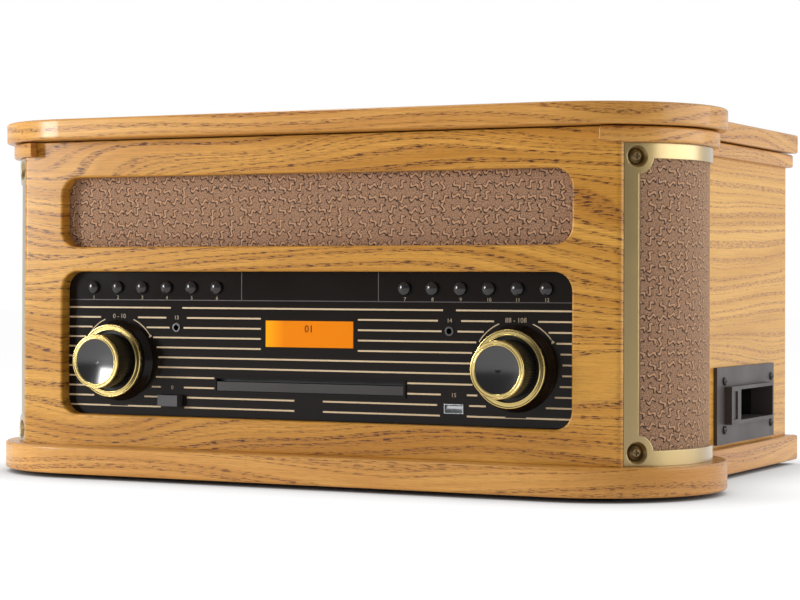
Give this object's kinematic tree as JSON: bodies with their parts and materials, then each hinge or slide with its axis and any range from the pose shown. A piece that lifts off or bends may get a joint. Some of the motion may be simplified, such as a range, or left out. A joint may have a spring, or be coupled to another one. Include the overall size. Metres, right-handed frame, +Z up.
{
  "type": "stereo music centre",
  "caption": "Retro wooden stereo music centre: record deck under a hinged lid, disc tray, side cassette slot, round knobs, push buttons, and cloth speaker columns framed in metal.",
  "frame": {"origin": "on the floor, at the middle of the whole plan's box", "axes": "+X to the object's right seen from the front, -Y out of the front, +Z up"},
  "size_m": [0.5148, 0.3609, 0.2385],
  "materials": {
    "oak": "satin oak veneer",
    "cloth": "woven",
    "brass": "satin",
    "gold_ring": "polished",
    "screw": "dark bronze",
    "black_gloss": "gloss",
    "black_plastic": "satin",
    "grey_plastic": "satin",
    "amber": "back-lit",
    "rubber": "matt",
    "metal": "brushed",
    "platter_metal": "turned",
    "mat": "ribbed",
    "board": "circuit board",
    "cartridge_red": "gloss",
    "hub_white": "satin"
  },
  "bodies": {
    "cabinet": {"base_board": "oak", "feet": "rubber", "front_panel": "oak", "side_panels": "oak", "rear_panel": "oak", "top_mouldings": "oak", "lid_hardware_fixed": "metal", "column_frames": "brass", "column_cloths": "cloth", "column_formers": "black_plastic", "column_screws": "screw", "speakers": "black_plastic", "grille_cloth": "cloth", "fascia": "black_gloss", "display_lens": "amber", "rotary_controls": "metal", "audio_jacks": "metal", "usb_port": "metal", "circuit_boards": "board", "cd_mechanism": "grey_plastic", "cassette_bezel": "grey_plastic", "cassette_screws": "screw", "cassette_deck": "black_plastic", "deck_plate": "black_plastic", "drive_belt": "rubber", "turntable_motor": "metal", "arm_mounts": "black_plastic", "rear_sockets": "black_plastic"},
    "lid": {"lid_board": "oak", "lid_hardware_moving": "metal"},
    "lid_stay": {"lid_stay": "metal"},
    "platter": {"platter": "platter_metal", "platter_mat": "mat"},
    "motor_pulley": {"motor_pulley": "gold_ring"},
    "arm_gimbal": {"arm_gimbal": "metal"},
    "tonearm": {"tonearm": "black_plastic", "cartridge": "cartridge_red"},
    "cue_lever": {"cue_lever": "metal"},
    "speed_switch": {"speed_switch": "metal"},
    "volume_knob": {"volume_knob": "black_plastic", "volume_rings": "gold_ring"},
    "tuning_knob": {"tuning_knob": "black_plastic", "tuning_rings": "gold_ring"},
    "power_button": {"power_button": "black_gloss"},
    "cd_tray": {"cd_tray": "black_gloss"},
    "eject_button": {"eject_button": "black_plastic"},
    "supply_hub": {"supply_hub": "hub_white"},
    "takeup_hub": {"takeup_hub": "hub_white"},
    "button_1": {"button_1": "black_gloss"},
    "button_2": {"button_2": "black_gloss"},
    "button_3": {"button_3": "black_gloss"},
    "button_4": {"button_4": "black_gloss"},
    "button_5": {"button_5": "black_gloss"},
    "button_6": {"button_6": "black_gloss"},
    "button_7": {"button_7": "black_gloss"},
    "button_8": {"button_8": "black_gloss"},
    "button_9": {"button_9": "black_gloss"},
    "button_10": {"button_10": "black_gloss"},
    "button_11": {"button_11": "black_gloss"},
    "button_12": {"button_12": "black_gloss"}
  },
  "joints": [
    {"name": "lid_hinge", "type": "hinge", "parent": "cabinet", "child": "lid", "pos_m": [0, 0.1768, 0.219], "axis": [-1, 0, 0], "range_deg": [0, 62]},
    {"name": "lid_stay_pivot", "type": "hinge", "parent": "cabinet", "child": "lid_stay", "pos_m": [0.202, 0.1068, 0.219], "axis": [-1, 0, 0], "range_deg": [0, 124]},
    {"name": "platter_spin", "type": "hinge", "parent": "cabinet", "child": "platter", "pos_m": [-0.045, 0.0095, 0.187], "axis": [0, 0, -1], "continuous": true},
    {"name": "pulley_spin", "type": "hinge", "parent": "cabinet", "child": "motor_pulley", "pos_m": [-0.087, 0.08225, 0.178], "axis": [0, 0, -1], "continuous": true},
    {"name": "arm_swing", "type": "hinge", "parent": "cabinet", "child": "arm_gimbal", "pos_m": [0.125, 0.1035, 0.183], "axis": [0, 0, -1], "range_deg": [0, 46]},
    {"name": "arm_lift", "type": "hinge", "parent": "arm_gimbal", "child": "tonearm", "pos_m": [0.125, 0.1035, 0.201], "axis": [-1, 0, 0], "range_deg": [0, 5]},
    {"name": "cue_lever_turn", "type": "hinge", "parent": "cabinet", "child": "cue_lever", "pos_m": [0.1487, 0.0755, 0.186], "axis": [-1, 0, 0], "range_deg": [0, 40]},
    {"name": "speed_slide", "type": "slide", "parent": "cabinet", "child": "speed_switch", "axis": [0, 1, 0], "range_m": [0, 0.016]},
    {"name": "volume_turn", "type": "hinge", "parent": "cabinet", "child": "volume_knob", "pos_m": [-0.1447, -0.1705, 0.078], "axis": [0, 1, 0], "range_deg": [-150, 150]},
    {"name": "tuning_turn", "type": "hinge", "parent": "cabinet", "child": "tuning_knob", "pos_m": [0.1447, -0.1705, 0.078], "axis": [0, 1, 0], "continuous": true},
    {"name": "power_press", "type": "slide", "parent": "cabinet", "child": "power_button", "axis": [0, 1, 0], "range_m": [0, 0.003], "stiffness_N_per_m": 600, "springref_m": -0.001},
    {"name": "tray_slide", "type": "slide", "parent": "cabinet", "child": "cd_tray", "axis": [0, -1, 0], "range_m": [0, 0.137]},
    {"name": "eject_press", "type": "slide", "parent": "cabinet", "child": "eject_button", "axis": [-1, 0, 0], "range_m": [0, 0.003], "stiffness_N_per_m": 700, "springref_m": -0.001},
    {"name": "supply_hub_spin", "type": "hinge", "parent": "cabinet", "child": "supply_hub", "pos_m": [0.19185, 0.0853, 0.033], "axis": [0, 0, 1], "continuous": true},
    {"name": "takeup_hub_spin", "type": "hinge", "parent": "cabinet", "child": "takeup_hub", "pos_m": [0.14935, 0.0853, 0.033], "axis": [0, 0, 1], "continuous": true},
    {"name": "button_1_press", "type": "slide", "parent": "cabinet", "child": "button_1", "axis": [0, 1, 0], "range_m": [0, 0.0012], "stiffness_N_per_m": 800, "springref_m": -0.0006},
    {"name": "button_2_press", "type": "slide", "parent": "cabinet", "child": "button_2", "axis": [0, 1, 0], "range_m": [0, 0.0012], "stiffness_N_per_m": 800, "springref_m": -0.0006},
    {"name": "button_3_press", "type": "slide", "parent": "cabinet", "child": "button_3", "axis": [0, 1, 0], "range_m": [0, 0.0012], "stiffness_N_per_m": 800, "springref_m": -0.0006},
    {"name": "button_4_press", "type": "slide", "parent": "cabinet", "child": "button_4", "axis": [0, 1, 0], "range_m": [0, 0.0012], "stiffness_N_per_m": 800, "springref_m": -0.0006},
    {"name": "button_5_press", "type": "slide", "parent": "cabinet", "child": "button_5", "axis": [0, 1, 0], "range_m": [0, 0.0012], "stiffness_N_per_m": 800, "springref_m": -0.0006},
    {"name": "button_6_press", "type": "slide", "parent": "cabinet", "child": "button_6", "axis": [0, 1, 0], "range_m": [0, 0.0012], "stiffness_N_per_m": 800, "springref_m": -0.0006},
    {"name": "button_7_press", "type": "slide", "parent": "cabinet", "child": "button_7", "axis": [0, 1, 0], "range_m": [0, 0.0012], "stiffness_N_per_m": 800, "springref_m": -0.0006},
    {"name": "button_8_press", "type": "slide", "parent": "cabinet", "child": "button_8", "axis": [0, 1, 0], "range_m": [0, 0.0012], "stiffness_N_per_m": 800, "springref_m": -0.0006},
    {"name": "button_9_press", "type": "slide", "parent": "cabinet", "child": "button_9", "axis": [0, 1, 0], "range_m": [0, 0.0012], "stiffness_N_per_m": 800, "springref_m": -0.0006},
    {"name": "button_10_press", "type": "slide", "parent": "cabinet", "child": "button_10", "axis": [0, 1, 0], "range_m": [0, 0.0012], "stiffness_N_per_m": 800, "springref_m": -0.0006},
    {"name": "button_11_press", "type": "slide", "parent": "cabinet", "child": "button_11", "axis": [0, 1, 0], "range_m": [0, 0.0012], "stiffness_N_per_m": 800, "springref_m": -0.0006},
    {"name": "button_12_press", "type": "slide", "parent": "cabinet", "child": "button_12", "axis": [0, 1, 0], "range_m": [0, 0.0012], "stiffness_N_per_m": 800, "springref_m": -0.0006}
  ],
  "couplings": [
    {"joint": "lid_stay_pivot", "follows": "lid_hinge", "ratio": 2},
    {"joint": "pulley_spin", "follows": "platter_spin", "ratio": 15.333}
  ]
}
